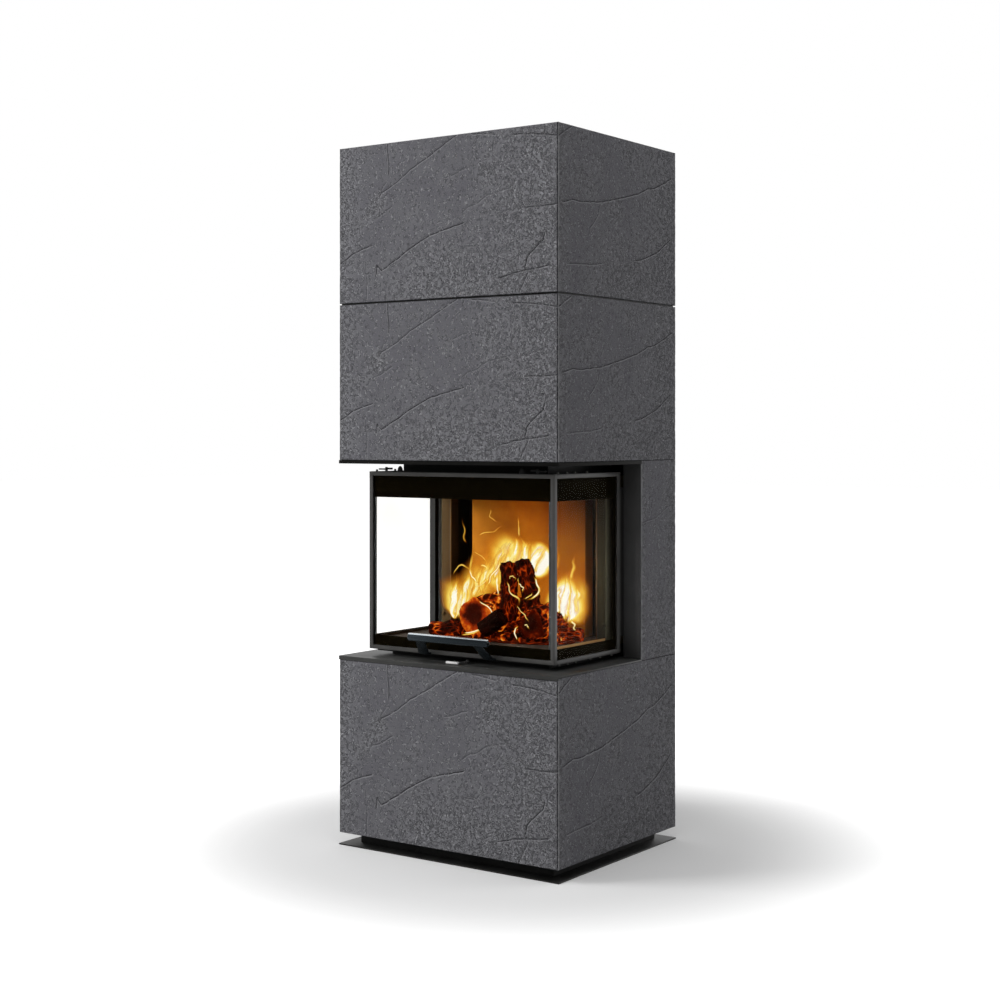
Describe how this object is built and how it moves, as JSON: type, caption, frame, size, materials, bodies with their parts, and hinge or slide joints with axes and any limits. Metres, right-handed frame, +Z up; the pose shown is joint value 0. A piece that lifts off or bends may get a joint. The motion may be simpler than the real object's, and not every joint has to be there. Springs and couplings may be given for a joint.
{
  "type": "tower fireplace",
  "caption": "Tall stone-clad tower fireplace with a three-sided glass lift door, a bar handle, a log fire on a hearth and an air control under the door.",
  "frame": {"origin": "bottom centre of the base plate, on the floor", "axes": "+Z up, -Y out of the front glass, +X to the right seen from the front"},
  "size_m": [0.75, 0.617, 1.9829],
  "materials": {
    "stone": "matte, creased like slate",
    "black_steel": "satin to gloss black",
    "grey_steel": "satin dark grey",
    "plain_steel": "plain mill finish",
    "bright_steel": "bright",
    "cast_iron": "plain cast",
    "glass": "clear fire-resistant ceramic glass with a black printed border",
    "chamotte": "matte fireclay",
    "vermiculite": "matte, porous",
    "rope": "woven fibre",
    "charred_wood": "charred, cracked",
    "embers": "glowing"
  },
  "bodies": {
    "root": {"base_plate": "black_steel", "plinth": "black_steel", "lower_front_panel": "stone", "lower_left_panel": "stone", "lower_right_panel": "stone", "middle_left_panel": "stone", "middle_right_panel": "stone", "upper_front_panel": "stone", "upper_left_panel": "stone", "upper_right_panel": "stone", "top_front_panel": "stone", "top_left_panel": "stone", "top_right_panel": "stone", "seam_strip": "black_steel", "shelf_plate": "black_steel", "lintel_tray": "black_steel", "fascia_left": "black_steel", "fascia_right": "black_steel", "support_frame": "plain_steel", "top_cover": "black_steel", "rear_cover": "black_steel", "firebox_base": "black_steel", "hearth_slab": "chamotte", "rear_shell": "black_steel", "pilaster_left": "chamotte", "pilaster_right": "chamotte", "back_block": "chamotte", "baffle_plate": "vermiculite", "chamber_ceiling": "black_steel", "door_seal": "rope", "smoke_chamber": "black_steel", "flue_pipe": "black_steel", "air_box": "plain_steel", "guide_rod_left": "plain_steel", "guide_rod_right": "plain_steel", "mechanism_plate": "black_steel", "ember_bed": "embers", "log_left": "charred_wood", "log_right": "charred_wood"},
    "lift_door": {"door_frame_front": "grey_steel", "door_frame_left": "grey_steel", "door_frame_right": "grey_steel", "glass_front": "glass", "glass_left": "glass", "glass_right": "glass", "door_handle": "black_steel", "latch_left": "black_steel", "latch_right": "black_steel", "carriage_left": "black_steel", "carriage_right": "black_steel", "door_cable_left": "plain_steel", "door_cable_right": "plain_steel"},
    "lift_shaft_set": {"lift_shaft": "plain_steel", "pulley_left": "cast_iron", "pulley_right": "cast_iron"},
    "counterweight_set": {"counterweight": "cast_iron", "weight_cable_left": "plain_steel", "weight_cable_right": "plain_steel"},
    "air_control": {"air_lever": "black_steel", "air_tab": "bright_steel"}
  },
  "joints": [
    {"name": "door_lift", "type": "slide", "parent": "root", "child": "lift_door", "axis": [0, 0, 1], "range_m": [0, 0.45], "deforming": ["door_cable_left", "door_cable_right"]},
    {"name": "counterweight_slide", "type": "slide", "parent": "root", "child": "counterweight_set", "axis": [0, 0, 1], "range_m": [-0.45, 0], "deforming": ["weight_cable_left", "weight_cable_right"]},
    {"name": "shaft_turn", "type": "hinge", "parent": "root", "child": "lift_shaft_set", "pos_m": [0, 0.205, 1.8], "axis": [1, 0, 0], "range_deg": [-740, 0]},
    {"name": "air_lever_turn", "type": "hinge", "parent": "root", "child": "air_control", "pos_m": [0.0235, -0.23, 0.5422], "axis": [0, 0, 1], "range_deg": [-30, 30]}
  ],
  "couplings": [
    {"joint": "counterweight_slide", "follows": "door_lift", "ratio": -1},
    {"joint": "shaft_turn", "follows": "door_lift", "rad_per_m": -28.571}
  ]
}
